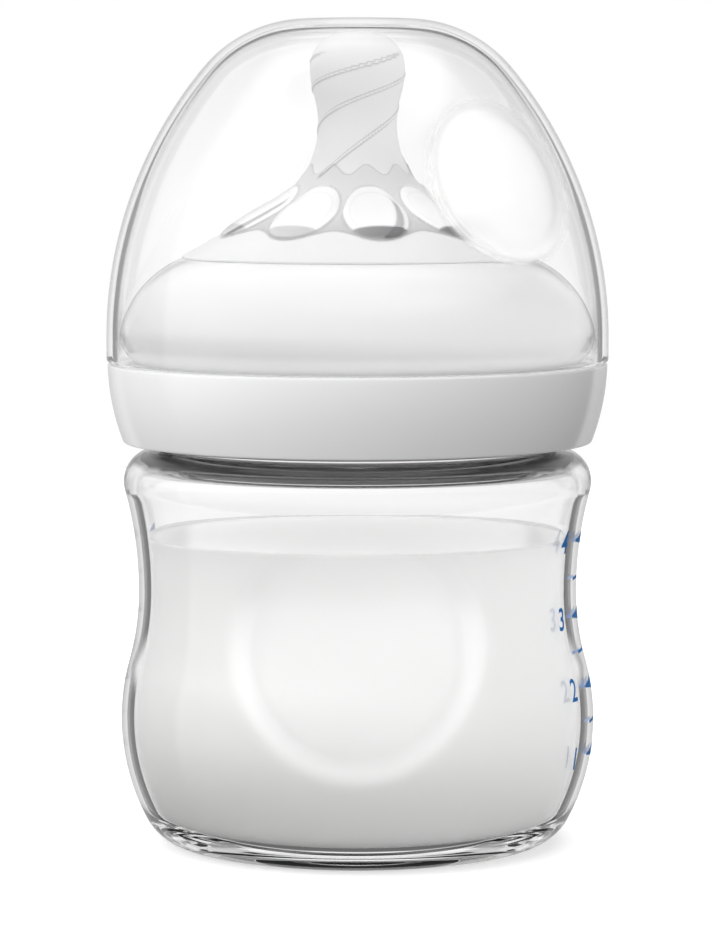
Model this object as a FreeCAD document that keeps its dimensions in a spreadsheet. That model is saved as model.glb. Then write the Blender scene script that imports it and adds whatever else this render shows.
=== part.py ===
import FreeCAD, Part
import math
import operator
import os
from types import SimpleNamespace

import Sketcher

# Wide-neck baby bottle: bottle, filling, nipple, screw ring and domed cap.
# Millimetres and degrees. The origin is the centre of the foot, +Z is up and -Y is the front.

SIZES = {
    # Bottle: belly, waist and shoulder are arcs that meet without a corner
    "belly_radius": 33.2,
    "belly_height": 17.5,
    "belly_curve": 30.0,
    "heel_curve": 6.45,
    "waist_depth": 2.5,
    "waist_lower_curve": 36.0,
    "waist_upper_curve": 54.5,
    "shoulder_flare": 2.05,
    "shoulder_curve": 4.5,
    "bottle_wall": 1.7,
    "inner_heel_curve": 5.0,
    "foot_width": 2.2,
    "base_slope": 2.0,
    "base_rise": 1.0,
    "base_thickness": 1.7,
    # Neck and its thread
    "neck_step": 1.75,
    "neck_height": 21.2,
    "neck_wall": 2.2,
    "rim_round": 0.7,
    "thread_pitch": 5.0,
    "thread_depth": 1.3,
    "thread_root_width": 2.6,
    "thread_crest_width": 1.4,
    "thread_turns": 1.25,
    "thread_start": 7.0,
    "thread_gap": 0.35,
    "thread_embed": 0.4,
    # Round recess on the front of the bottle
    "recess_height": 30.4,
    "recess_radius": 15.8,
    "recess_depth": 0.7,
    # Filling
    "milk_over_waist": 7.9,
    "milk_film": 0.1,
    # Screw ring
    "ring_gap": 1.0,
    "ring_wall": 2.65,
    "band_height": 11.1,
    "band_taper": 2.1,
    "band_curve": 32.0,
    "band_edge": 0.4,
    "ledge_width": 1.9,
    "bulge_depth": 2.2,
    "bulge_height": 5.2,
    "bulge_curve": 4.5,
    "dome_curve": 14.6,
    "lip_thickness": 3.6,
    "lip_land": 1.0,
    "lip_grip": 2.7,
    "bore_chamfer": 1.2,
    # Nipple
    "flange_inset": 0.2,
    "flange_thickness": 1.6,
    "seat_gap": 0.05,
    "lip_gap": 0.15,
    "groove_gap": 0.3,
    "bead_overlap": 0.9,
    "bead_edge": 0.3,
    "cone_angle": 29.5,
    "flare_curve": 13.0,
    "nipple_neck_radius": 5.47,
    "bulb_swell": 1.13,
    "neck_curve": 13.75,
    "bulb_curve": 13.75,
    "tip_curve": 5.1,
    "nipple_wall": 1.5,
    "flow_hole_radius": 0.35,
    "petal_count": 9,
    "petal_radius": 14.6,
    "petal_length": 6.4,
    "petal_width": 4.2,
    "petal_height": 1.7,
    "petal_depth": 0.7,
    # Domed cap
    "cap_gap": 0.1,
    "cap_proud": 0.15,
    "cap_wall": 1.45,
    "cap_rim_height": 3.3,
    "cap_flat_radius": 7.0,
    "cap_corner": 18.8,
    "tip_gap": 0.2,
    "dimple_azimuth": 42.5,
    "dimple_rise": 26.2,
    "dimple_radius": 11.3,
    "dimple_depth": 0.6,
    # How far a cutting tool reaches past the faces it cuts
    "tool_overrun": 1.0,
}

# Turn about X that lays an upright cylinder level, pointing to the front
UPRIGHT = 90

OPERATORS = {"+": operator.add, "-": operator.sub, "*": operator.mul, "/": operator.truediv}


class Size:
    """A size that carries its expression on the sheet together with its present value."""

    def __init__(self, text, value):
        self.text = text
        self.value = value

    def __add__(self, other):
        return combine(self, "+", other)

    def __sub__(self, other):
        return combine(self, "-", other)

    def __mul__(self, other):
        return combine(self, "*", other)

    def __truediv__(self, other):
        return combine(self, "/", other)


def combine(left, sign, right):
    """Join two sizes, or a size and a plain number, into one expression."""
    if not isinstance(right, Size):
        right = Size(f"{right:g}", right)
    value = OPERATORS[sign](left.value, right.value)
    return Size(f"({left.text} {sign} {right.text})", value)


def root(size):
    """Square root of a size."""
    return Size(f"sqrt({size.text})", math.sqrt(size.value))


def sine(angle):
    """Sine of an angle in degrees."""
    return Size(f"sin({angle.text})", math.sin(math.radians(angle.value)))


def cosine(angle):
    """Cosine of an angle in degrees."""
    return Size(f"cos({angle.text})", math.cos(math.radians(angle.value)))


def arc_sine(ratio):
    """Angle in degrees whose sine is this ratio."""
    return Size(f"(asin({ratio.text}) / 1 deg)", math.degrees(math.asin(ratio.value)))


def leg(slant, side):
    """Other leg of a right triangle with this slant and side."""
    return root(slant * slant - side * side)


def beyond(start, towards, distance, span):
    """Point on the line from start towards another point, span apart, at this distance."""
    share = distance / span
    return tuple(a + (b - a) * share for a, b in zip(start, towards))


doc = FreeCAD.newDocument("BabyBottle")
sheet = doc.addObject("Spreadsheet::Sheet", "Sizes")
for row, (alias, number) in enumerate(SIZES.items(), start=1):
    sheet.set(f"A{row}", alias)
    sheet.set(f"B{row}", str(number))
    sheet.setAlias(f"B{row}", alias)
doc.recompute()

s = SimpleNamespace(**{alias: Size(f"Sizes.{alias}", number) for alias, number in SIZES.items()})
ZERO = Size("0", 0.0)


def origin_feature(body, role):
    """Plane or axis of a body's own origin."""
    return next(item for item in body.Origin.OriginFeatures if item.Role == role)


def stretch_shape(start, end, arc):
    """Straight or round stretch of an outline, and which of its ends is the start."""
    first = FreeCAD.Vector(start[0].value, start[1].value, 0)
    last = FreeCAD.Vector(end[0].value, end[1].value, 0)
    if arc is None:
        return Part.LineSegment(first, last), 1, 2
    radius, centre_side = arc
    chord = last - first
    left = FreeCAD.Vector(-chord.y, chord.x, 0).normalize()
    height = math.sqrt(radius.value ** 2 - (chord.Length / 2) ** 2)
    is_left = centre_side == "left"
    centre = first + chord / 2 + left * (height if is_left else -height)
    circle = Part.Circle(centre, FreeCAD.Vector(0, 0, 1), radius.value)
    angles = [math.atan2(point.y - centre.y, point.x - centre.x) for point in (first, last)]
    if is_left:
        return Part.ArcOfCircle(circle, angles[0], angles[1]), 1, 2
    return Part.ArcOfCircle(circle, angles[1], angles[0]), 2, 1


def outline(body, name, corners):
    """Closed sketch in the XZ plane, as (radius, height) corners with an optional arc after each.

    An arc is its radius and the side of the travel that its centre lies on.
    """
    sketch = body.newObject("Sketcher::SketchObject", name)
    sketch.AttachmentSupport = [(origin_feature(body, "XZ_Plane"), "")]
    sketch.MapMode = "FlatFace"
    corners = [(corner + (None,))[:3] for corner in corners]
    stretches = []
    for index, corner in enumerate(corners):
        following = corners[(index + 1) % len(corners)]
        shape, start, end = stretch_shape(corner, following, corner[2])
        stretches.append((sketch.addGeometry(shape, False), start, end))
    rules = []
    for index, (edge, start, end) in enumerate(stretches):
        radius, height, arc = corners[index]
        before = stretches[index - 1]
        rules.append((Sketcher.Constraint("Coincident", before[0], before[2], edge, start), None))
        for kind, size, axis in (("DistanceX", radius, -2), ("DistanceY", height, -1)):
            if size is ZERO:
                rules.append((Sketcher.Constraint("PointOnObject", edge, start, axis), None))
            else:
                rule = Sketcher.Constraint(kind, -1, 1, edge, start, size.value)
                rules.append((rule, size))
        if arc:
            rules.append((Sketcher.Constraint("Radius", edge, arc[0].value), arc[0]))
    sketch.addConstraint([rule for rule, size in rules])
    for index, (rule, size) in enumerate(rules):
        if size:
            sketch.setExpression(f"Constraints[{index}]", size.text)
    return sketch


def turned(name, corners):
    """Body turned from an outline about the vertical axis."""
    body = doc.addObject("PartDesign::Body", name)
    sketch = outline(body, name + "_outline", corners)
    turn = body.newObject("PartDesign::Revolution", name + "_turn")
    turn.Profile = sketch
    turn.ReferenceAxis = (sketch, ["V_Axis"])
    turn.Angle = 360
    return body


def screw_thread(body, name, wall, crest, middle):
    """Trapezoid thread, carried up a helix from the wall to its crest."""
    half_root = s.thread_root_width / 2
    half_crest = s.thread_crest_width / 2
    profile = outline(body, name + "_profile", [
        (wall, middle - half_root),
        (crest, middle - half_crest),
        (crest, middle + half_crest),
        (wall, middle + half_root),
    ])
    helix = body.newObject("PartDesign::AdditiveHelix", name)
    helix.Profile = profile
    helix.ReferenceAxis = (profile, ["V_Axis"])
    helix.Mode = "pitch-turns-angle"
    helix.setExpression("Pitch", s.thread_pitch.text)
    helix.setExpression("Turns", s.thread_turns.text)
    return helix


def disc_in_skin(name, skin, height, lean, azimuth, radius, reach):
    """Part of a skin inside a cylinder that points out from the axis at this azimuth and lean.

    The azimuth is measured from the front towards the right, and the lean upwards.
    """
    punch = doc.addObject("Part::Cylinder", name + "_punch")
    punch.setExpression("Radius", radius.text)
    punch.setExpression("Height", reach.text)
    outward = FreeCAD.Rotation(azimuth.value, 0, UPRIGHT - lean.value)
    punch.Placement = FreeCAD.Placement(FreeCAD.Vector(0, 0, height.value), outward)
    punch.setExpression("Placement.Base.z", height.text)
    punch.setExpression("Placement.Rotation.Yaw", azimuth.text)
    punch.setExpression("Placement.Rotation.Roll", f"{UPRIGHT} - {lean.text}")
    disc = doc.addObject("Part::Common", name)
    disc.Base = skin
    disc.Tool = punch
    return disc


def cut(name, blank, tool):
    """Blank with a tool cut away."""
    piece = doc.addObject("Part::Cut", name)
    piece.Base = blank
    piece.Tool = tool
    return piece


# Centres and meeting points of the bottle's arcs
waist_radius = s.belly_radius - s.waist_depth
belly_centre = (s.belly_radius - s.belly_curve, s.belly_height)
lower_span = s.belly_curve + s.waist_lower_curve
waist_height = s.belly_height + leg(lower_span, lower_span - s.waist_depth)
lower_centre = (waist_radius + s.waist_lower_curve, waist_height)
upper_span = s.waist_upper_curve + s.shoulder_curve
upper_centre = (waist_radius + s.waist_upper_curve, waist_height)
shoulder_centre = (
    waist_radius + s.shoulder_flare - s.shoulder_curve,
    waist_height + leg(upper_span, upper_span - s.shoulder_flare),
)
shoulder_top = shoulder_centre[1] + s.shoulder_curve
heel_span = s.belly_curve - s.heel_curve
foot_radius = belly_centre[0] + leg(heel_span, s.belly_height - s.heel_curve)
heel_centre = (foot_radius, s.heel_curve)


def side_points(inset):
    """Where the side's arcs meet, moved this far into the wall: heel, belly, waist and shoulder."""
    return (
        beyond(belly_centre, heel_centre, s.belly_curve - inset, heel_span),
        beyond(belly_centre, lower_centre, s.belly_curve - inset, lower_span),
        (waist_radius - inset, waist_height),
        beyond(shoulder_centre, upper_centre, s.shoulder_curve - inset, upper_span),
    )


def inner_floor(inset):
    """Floor inside the wall: its height, its edge and where its round meets the belly."""
    height = s.base_rise + s.base_thickness + inset - s.bottle_wall
    curve = s.inner_heel_curve + s.bottle_wall - inset
    span = s.belly_curve - inset - curve
    edge = belly_centre[0] + leg(span, s.belly_height - height - curve)
    meeting = beyond(belly_centre, (edge, height + curve), s.belly_curve - inset, span)
    return height, edge, curve, meeting


# Bottle blank: up the outside, over the rim and down the inside
neck_radius = shoulder_centre[0] - s.neck_step
neck_inside = neck_radius - s.neck_wall
mouth = shoulder_top + s.neck_height
heel_out, belly_out, waist_out, shoulder_out = side_points(ZERO)
_, belly_in, waist_in, shoulder_in = side_points(s.bottle_wall)
floor, floor_edge, floor_curve, floor_meeting = inner_floor(s.bottle_wall)
foot_inside = foot_radius - s.foot_width
ceiling = shoulder_top - s.bottle_wall
bottle_blank = turned("bottle_blank", [
    (ZERO, s.base_rise),
    (foot_inside - s.base_slope, s.base_rise),
    (foot_inside, ZERO),
    (foot_radius, ZERO, (s.heel_curve, "left")),
    (*heel_out, (s.belly_curve, "left")),
    (*belly_out, (s.waist_lower_curve, "right")),
    (*waist_out, (s.waist_upper_curve, "right")),
    (*shoulder_out, (s.shoulder_curve, "left")),
    (shoulder_centre[0], shoulder_top),
    (neck_radius, shoulder_top),
    (neck_radius, mouth - s.rim_round, (s.rim_round, "left")),
    (neck_radius - s.rim_round, mouth),
    (neck_inside + s.rim_round, mouth, (s.rim_round, "left")),
    (neck_inside, mouth - s.rim_round),
    (neck_inside, ceiling),
    (shoulder_centre[0], ceiling, (s.shoulder_curve - s.bottle_wall, "right")),
    (*shoulder_in, (s.waist_upper_curve + s.bottle_wall, "left")),
    (*waist_in, (s.waist_lower_curve + s.bottle_wall, "left")),
    (*belly_in, (s.belly_curve - s.bottle_wall, "right")),
    (*floor_meeting, (floor_curve, "right")),
    (floor_edge, floor),
    (ZERO, floor),
])
thread_middle = shoulder_top + s.thread_start
screw_thread(bottle_blank, "neck_thread", neck_radius - s.thread_embed,
             neck_radius + s.thread_depth, thread_middle)

# Round recess on the front: a disc of the bottle's outer skin is taken away
proud = ZERO - s.tool_overrun
skin_heel, skin_belly, skin_waist, skin_shoulder = side_points(s.recess_depth)
over_heel, over_belly, over_waist, over_shoulder = side_points(proud)
bottle_skin = turned("bottle_skin", [
    (*over_heel, (s.belly_curve + s.tool_overrun, "left")),
    (*over_belly, (s.waist_lower_curve - s.tool_overrun, "right")),
    (*over_waist, (s.waist_upper_curve - s.tool_overrun, "right")),
    over_shoulder,
    (*skin_shoulder, (s.waist_upper_curve + s.recess_depth, "left")),
    (*skin_waist, (s.waist_lower_curve + s.recess_depth, "left")),
    (*skin_belly, (s.belly_curve - s.recess_depth, "right")),
    skin_heel,
])
front_recess = disc_in_skin("front_recess", bottle_skin, s.recess_height, ZERO, ZERO,
                            s.recess_radius, s.belly_radius + s.tool_overrun * 2)
bottle = cut("bottle", bottle_blank, front_recess)

# Filling: follows the inside of the wall up to a level surface
milk_inset = s.bottle_wall + s.milk_film
milk_floor, milk_edge, milk_curve, milk_meeting = inner_floor(milk_inset)
_, belly_milk, waist_milk, _ = side_points(milk_inset)
milk_level = waist_height + s.milk_over_waist
upper_milk_curve = s.waist_upper_curve + milk_inset
milk_rim = upper_centre[0] - leg(upper_milk_curve, s.milk_over_waist)
milk = turned("milk", [
    (ZERO, milk_floor),
    (milk_edge, milk_floor, (milk_curve, "left")),
    (*milk_meeting, (s.belly_curve - milk_inset, "left")),
    (*belly_milk, (s.waist_lower_curve + milk_inset, "right")),
    (*waist_milk, (upper_milk_curve, "right")),
    (milk_rim, milk_level),
    (ZERO, milk_level),
])

# Screw ring: stands clear of the shoulder, and its lip holds the nipple's flange on the rim
ring_bottom = shoulder_top + s.ring_gap
bore = neck_radius + s.thread_depth + s.thread_gap
undercut = bore + s.ring_wall
bulge = undercut + s.bulge_depth
band_radius = bulge + s.ledge_width
ledge = ring_bottom + s.band_height
flange_bottom = mouth + s.seat_gap
flange_top = flange_bottom + s.flange_thickness
clamp = flange_top + s.lip_gap
lip_top = clamp + s.lip_thickness
flange_radius = neck_radius - s.flange_inset
opening = flange_radius - s.lip_grip
screw_ring = turned("screw_ring", [
    (bore, ring_bottom),
    (band_radius - s.band_taper, ring_bottom, (s.band_curve, "left")),
    (band_radius, ledge - s.band_edge, (s.band_edge, "left")),
    (band_radius - s.band_edge, ledge),
    (undercut, ledge, (s.bulge_curve, "left")),
    (bulge, ledge + s.bulge_height, (s.dome_curve, "left")),
    (opening + s.lip_land, lip_top),
    (opening, lip_top),
    (opening, clamp),
    (bore - s.bore_chamfer, clamp),
    (bore, clamp - s.bore_chamfer),
])
screw_thread(screw_ring, "ring_thread", bore + s.thread_embed, neck_radius + s.thread_gap,
             thread_middle - s.thread_pitch / 2)

# Nipple: the flange sits on the rim, the groove grips the lip and the bead covers the lip's edge
sine_cone = sine(s.cone_angle)
cosine_cone = cosine(s.cone_angle)
tangent_cone = sine_cone / cosine_cone
groove = opening - s.groove_gap
bead_radius = opening + s.bead_overlap
bead_bottom = lip_top + s.lip_gap
cone_bottom = bead_bottom + s.bead_edge
flare_centre_radius = s.nipple_neck_radius + s.flare_curve
cone_top_radius = flare_centre_radius - s.flare_curve * sine_cone
cone_top = cone_bottom + (bead_radius - cone_top_radius) * tangent_cone
nipple_neck = cone_top + s.flare_curve * cosine_cone
flare_centre = (flare_centre_radius, nipple_neck)
neck_centre = (s.nipple_neck_radius + s.neck_curve, nipple_neck)
bulb_radius = s.nipple_neck_radius + s.bulb_swell
bulb_span = s.neck_curve + s.bulb_curve
bulb_height = nipple_neck + leg(bulb_span, bulb_span - s.bulb_swell)
bulb_centre = (bulb_radius - s.bulb_curve, bulb_height)
tip = bulb_height + s.tip_curve
tip_flat = bulb_radius - s.tip_curve
cone_top_in = (cone_top_radius - s.nipple_wall * sine_cone, cone_top - s.nipple_wall * cosine_cone)
skirt_inside = groove - s.nipple_wall
skirt_top = cone_top_in[1] - (skirt_inside - cone_top_in[0]) * tangent_cone
bulb_meeting = beyond(bulb_centre, neck_centre, s.bulb_curve, bulb_span)
bulb_meeting_in = beyond(bulb_centre, neck_centre, s.bulb_curve - s.nipple_wall, bulb_span)
nipple = turned("nipple", [
    (skirt_inside, flange_bottom),
    (flange_radius, flange_bottom),
    (flange_radius, flange_top),
    (groove, flange_top),
    (groove, bead_bottom),
    (bead_radius, bead_bottom),
    (bead_radius, cone_bottom),
    (cone_top_radius, cone_top, (s.flare_curve, "right")),
    (s.nipple_neck_radius, nipple_neck, (s.neck_curve, "right")),
    (*bulb_meeting, (s.bulb_curve, "left")),
    (bulb_radius, bulb_height, (s.tip_curve, "left")),
    (tip_flat, tip),
    (s.flow_hole_radius, tip),
    (s.flow_hole_radius, tip - s.nipple_wall),
    (tip_flat, tip - s.nipple_wall, (s.tip_curve - s.nipple_wall, "right")),
    (bulb_radius - s.nipple_wall, bulb_height, (s.bulb_curve - s.nipple_wall, "right")),
    (*bulb_meeting_in, (s.neck_curve + s.nipple_wall, "left")),
    (s.nipple_neck_radius - s.nipple_wall, nipple_neck, (s.flare_curve + s.nipple_wall, "left")),
    cone_top_in,
    (skirt_inside, skirt_top),
])

# Petal pockets inside the cone: flat ellipsoids that bite into the wall from below
petal_sink = s.nipple_wall + s.petal_height - s.petal_depth
petal_level = cone_top - (s.petal_radius - cone_top_radius) * tangent_cone
petal = nipple.newObject("PartDesign::SubtractiveEllipsoid", "petal")
petal.AttachmentSupport = [(origin_feature(nipple, "XY_Plane"), "")]
petal.MapMode = "FlatFace"
petal.AttachmentOffset = FreeCAD.Placement(
    FreeCAD.Vector(0, 0, 0), FreeCAD.Rotation(FreeCAD.Vector(0, 1, 0), SIZES["cone_angle"]))
petal.setExpression("AttachmentOffset.Base.x", (s.petal_radius - petal_sink * sine_cone).text)
petal.setExpression("AttachmentOffset.Base.z", (petal_level - petal_sink * cosine_cone).text)
petal.setExpression("AttachmentOffset.Rotation.Angle", s.cone_angle.text)
petal.setExpression("Radius1", s.petal_height.text)
petal.setExpression("Radius2", s.petal_length.text)
petal.setExpression("Radius3", s.petal_width.text)
doc.recompute()
petals = nipple.newObject("PartDesign::PolarPattern", "petals")
petals.Originals = [petal]
petals.Axis = (origin_feature(nipple, "Z_Axis"), [""])
petals.Angle = 360
petals.setExpression("Occurrences", s.petal_count.text)
nipple.Tip = petals

# Domed cap: stands on the ring's ledge and clears the nipple's tip
cap_radius = band_radius + s.cap_proud
cap_bottom = ledge + s.cap_gap
cap_spring = cap_bottom + s.cap_rim_height
cap_top = tip + s.tip_gap + s.cap_wall
corner_centre = (s.cap_flat_radius, cap_top - s.cap_corner)
corner_run = cap_radius - s.cap_flat_radius
corner_lift = corner_centre[1] - cap_spring
side_curve = (
    (corner_run * corner_run + corner_lift * corner_lift - s.cap_corner * s.cap_corner)
    / ((corner_run - s.cap_corner) * 2)
)
side_centre = (cap_radius - side_curve, cap_spring)
corner_span = side_curve - s.cap_corner


def cap_corner_point(inset):
    """Where the cap's side and top corner meet, moved this far into its wall."""
    return beyond(side_centre, corner_centre, side_curve - inset, corner_span)


cap_blank = turned("cap_blank", [
    (cap_radius - s.cap_wall, cap_bottom),
    (cap_radius, cap_bottom),
    (cap_radius, cap_spring, (side_curve, "left")),
    (*cap_corner_point(ZERO), (s.cap_corner, "left")),
    (s.cap_flat_radius, cap_top),
    (ZERO, cap_top),
    (ZERO, cap_top - s.cap_wall),
    (s.cap_flat_radius, cap_top - s.cap_wall, (s.cap_corner - s.cap_wall, "right")),
    (*cap_corner_point(s.cap_wall), (side_curve - s.cap_wall, "right")),
    (cap_radius - s.cap_wall, cap_spring),
])

# Thumb dimple: a disc of the cap's outer skin is taken away, square to the side's curve
cap_skin = turned("cap_skin", [
    (cap_radius + s.tool_overrun, cap_spring, (side_curve + s.tool_overrun, "left")),
    (*cap_corner_point(proud), (s.cap_corner + s.tool_overrun, "left")),
    (s.cap_flat_radius, cap_top + s.tool_overrun),
    (s.cap_flat_radius, cap_top - s.dimple_depth, (s.cap_corner - s.dimple_depth, "right")),
    (*cap_corner_point(s.dimple_depth), (side_curve - s.dimple_depth, "right")),
    (cap_radius - s.dimple_depth, cap_spring),
])
dimple_lift = s.dimple_rise - s.cap_rim_height
dimple_lean = arc_sine(dimple_lift / side_curve)
dimple_foot = cap_spring - side_centre[0] * dimple_lift / leg(side_curve, dimple_lift)
thumb_dimple = disc_in_skin("thumb_dimple", cap_skin, dimple_foot, dimple_lean,
                            s.dimple_azimuth, s.dimple_radius, cap_radius + s.cap_corner)
dome_cap = cut("dome_cap", cap_blank, thumb_dimple)

PIECES = {
    "bottle": bottle,
    "milk": milk,
    "nipple": nipple,
    "screw_ring": screw_ring,
    "dome_cap": dome_cap,
}

doc.recompute()
for item in doc.Objects:
    if "Invalid" in item.State or "Error" in item.State:
        raise RuntimeError(f"{item.Label} failed: {item.State}")
for label, piece in PIECES.items():
    piece.Label = label
    if piece.Shape.isNull() or not piece.Shape.isValid() or len(piece.Shape.Solids) != 1:
        raise RuntimeError(f"{label} is not one valid solid")
for whole, blank in ((bottle, bottle_blank), (dome_cap, cap_blank)):
    if whole.Shape.Volume >= blank.Shape.Volume:
        raise RuntimeError(f"{whole.Label} lost nothing to its cut")

os.makedirs("parts", exist_ok=True)
for label, piece in PIECES.items():
    piece.Shape.exportStep(f"parts/{label}.step")
    box = piece.Shape.BoundBox
    print(f"{label}: volume {piece.Shape.Volume:.0f}, z {box.ZMin:.2f} to {box.ZMax:.2f}, "
          f"radius {box.XMax:.2f}")
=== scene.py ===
import math

import bpy
import numpy as np
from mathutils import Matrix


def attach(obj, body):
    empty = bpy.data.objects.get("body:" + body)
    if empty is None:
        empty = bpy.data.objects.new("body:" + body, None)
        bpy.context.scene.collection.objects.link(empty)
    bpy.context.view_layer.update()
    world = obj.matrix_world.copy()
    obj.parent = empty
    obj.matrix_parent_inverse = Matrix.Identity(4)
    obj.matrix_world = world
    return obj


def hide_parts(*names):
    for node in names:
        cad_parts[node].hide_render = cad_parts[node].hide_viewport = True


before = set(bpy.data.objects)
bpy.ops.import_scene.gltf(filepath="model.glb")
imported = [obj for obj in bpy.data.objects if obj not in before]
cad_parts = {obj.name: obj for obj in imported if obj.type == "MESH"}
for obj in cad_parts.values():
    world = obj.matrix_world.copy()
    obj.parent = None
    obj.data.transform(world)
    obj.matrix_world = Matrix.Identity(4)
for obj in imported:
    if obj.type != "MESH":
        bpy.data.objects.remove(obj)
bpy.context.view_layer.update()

MM = 0.001
SAME_POINT = 1e-6

# Columns of the meshes, once round or in a sector, and steps along outlines in millimetres
COLUMNS = 360
BOTTLE_COLUMNS = 150
RECESS_COLUMNS = 130
RECESS_SECTOR = math.radians(37)
CAP_COLUMNS = 240
DIMPLE_COLUMNS = 150
DIMPLE_SECTOR = math.radians(29)
FLOOR_COLUMNS = 96
INK_ALONG = 24
INK_ACROSS = 4
LINE_STEP = 3.0
ARC_STEP = 0.6
CAP_STEP = 0.5
THREAD_STEP = 0.4
NIPPLE_STEP = 0.3
RIB_STEP = 0.24
ARC_TURN = math.radians(7)
SMALL_ROUND = 1.0
SMALL_ROUND_TURN = math.radians(18)

# Outward lean of a surface's normal: a side wall has more, a level face less, an outer face some
WALL_LEAN = 0.5
LEVEL_LEAN = 0.75
OUTER_LEAN = 0.05

# Bottle, in millimetres, as in the part's source
BELLY_RADIUS = 33.2
BELLY_HEIGHT = 17.5
BELLY_CURVE = 30.0
HEEL_CURVE = 6.45
WAIST_RADIUS = 30.7
WAIST_LOWER_CURVE = 36.0
WAIST_UPPER_CURVE = 54.5
SHOULDER_FLARE = 2.05
SHOULDER_CURVE = 4.5
BOTTLE_WALL = 1.7
INNER_HEEL_CURVE = 5.0
INNER_SHOULDER_CURVE = 3.2
FOOT_WIDTH = 2.2
BASE_SLOPE = 2.0
BASE_RISE = 1.0
BASE_THICKNESS = 1.7
BASE_ROUND = 0.8
FOOT_ROUND = 0.5
NECK_STEP = 1.75
NECK_HEIGHT = 21.2
NECK_WALL = 2.2
NECK_MARGIN = 1.0
NECK_FOOT_ROUND = 0.5
THROAT_ROUND = 3.0
LEDGE_SHADE = 0.6
RIM_ROUND = 0.7
THREAD_PITCH = 5.0
THREAD_DEPTH = 1.3
THREAD_ROOT_WIDTH = 2.6
THREAD_CREST_WIDTH = 1.4
THREAD_TURNS = 1.25
THREAD_START = 7.0
THREAD_RUN_OUT = 0.03
RECESS_HEIGHT = 30.4
RECESS_RIM = 17.3
RECESS_FLAT = 14.6
RECESS_SOFT = 0.35
RECESS_DEPTH = 0.85
RECESS_FADE_FOOT = 36.0
RECESS_FADE_TOP = 44.5
RECESS_FADE_SHARE = 0.85
MILK_OVER_WAIST = 7.9
MILK_FILM = 0.1
MILK_DRAWN_FROM = 20.0
MILK_DRAWN_TO = 27.5
MENISCUS_WIDTH = 1.3
MENISCUS_RISE = 0.3
MENISCUS_CURVE = 2.2

# Screw ring
RING_GAP = 1.0
RING_WALL = 2.65
THREAD_GAP = 0.35
BAND_HEIGHT = 11.1
BAND_TAPER = 2.1
BAND_CURVE = 32.0
BAND_EDGE = 0.4
LEDGE_WIDTH = 1.9
BULGE_DEPTH = 2.2
BULGE_HEIGHT = 5.2
BULGE_CURVE = 4.5
DOME_CURVE = 14.6
LIP_THICKNESS = 3.6
LIP_LAND = 1.0
LIP_GRIP = 2.7
BORE_CHAMFER = 1.2
BORE_ROUND = 0.3
# BORE_SHADE: how far out from the bore the painted shade reaches.
BORE_SHADE = 0.6
BAND_FOOT_ROUND = 0.45
LIP_TOP_ROUND = 0.4
LIP_FOOT_ROUND = 0.2
CLOSE = 0.01

# Nipple
FLANGE_INSET = 0.2
FLANGE_THICKNESS = 1.6
SEAT_GAP = 0.05
LIP_GAP = 0.15
BEAD_REST = 0.03
GROOVE_GAP = 0.3
BEAD_OVERLAP = 0.9
BEAD_EDGE = 0.3
CONE_ANGLE = math.radians(29.5)
FLARE_CURVE = 13.0
NIPPLE_NECK_RADIUS = 5.47
BULB_SWELL = 1.13
NECK_CURVE = 13.75
BULB_CURVE = 13.75
TIP_CURVE = 5.1
NIPPLE_WALL = 1.5
FLOW_HOLE_RADIUS = 0.35
SKIRT_FOOT_ROUND = 0.2
SKIRT_TOP_ROUND = 0.4
FLANGE_ROUND = 0.3
GROOVE_ROUND = 0.2
BEAD_FOOT_ROUND = 0.12
BEAD_TOP_ROUND = 0.15
BEAD_MARGIN = 0.2
HOLE_ROUND = 0.15
PETAL_COUNT = 9
PETAL_TURN = math.radians(10)
PETAL_TOP_RADIUS = 8.6
PETAL_FOOT_RADIUS = 19.8
PETAL_MIDDLE = (PETAL_TOP_RADIUS + PETAL_FOOT_RADIUS) / 2
PETAL_HALF_LENGTH = (PETAL_FOOT_RADIUS - PETAL_TOP_RADIUS) / 2
PETAL_HALF_WIDTH = 4.7
PETAL_TOP_SHARE = 0.72
PETAL_WIDENS = 0.28
PETAL_LEAST_SHARE = 0.5
PETAL_POWER = 2.6
PETAL_BULGE = 0.7
PETAL_SOFT = 0.18
# Painted shade on the silicone: the values from here to STREAK_BARE place a ring inside each petal, the
# petals' dark feet, the grey low between petals and a dark line in each petal.
POCKET_SOFT = 0.3
POCKET_INSET = 1.2
LENS_RADIUS = 17.4
LENS_BOW = 1.2
LENS_SOFT = 0.4
LENS_FAINT = 0.4
LENS_GROWS_FROM = -0.6
LENS_GROWS_OVER = 0.9
WEB_TOP_RADIUS = 11.0
STREAK_OUT = 0.68
STREAK_HALF_WIDTH = 0.09
STREAK_SOFT = 0.6
STREAK_START = -0.75
STREAK_START_SOFT = 0.5
STREAK_BARE = math.radians(30)

# Domed cap
CAP_GAP = 0.1
CAP_PROUD = 0.15
CAP_WALL = 1.45
CAP_RIM_HEIGHT = 3.3
CAP_FLAT_RADIUS = 7.0
CAP_CORNER = 18.8
TIP_GAP = 0.2
DIMPLE_AZIMUTH = math.radians(42.5)
DIMPLE_RISE = 26.2
DIMPLE_RIM = 12.3
DIMPLE_FLAT = 10.3
DIMPLE_DEPTH = 0.9
# Painted shade: where the grey arc inside the dimple's far rim lies.
CRESCENT_INSIDE = 8.6
CRESCENT_SOFT = 1.6
CRESCENT_INSET = 0.4
CRESCENT_EDGE = 0.6
CRESCENT_UPWARD = 0.35
CAP_INNER_ROUND = 0.3
CAP_OUTER_ROUND = 0.5


# Outlines

def ease(share):
    """Smooth step: 3 t squared minus 2 t cubed, with t held between 0 and 1."""
    held = np.clip(share, 0.0, 1.0)
    return held * held * (3.0 - 2.0 * held)


def leg(long_side, other):
    """Third side of a right triangle."""
    return math.sqrt(long_side * long_side - other * other)


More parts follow.
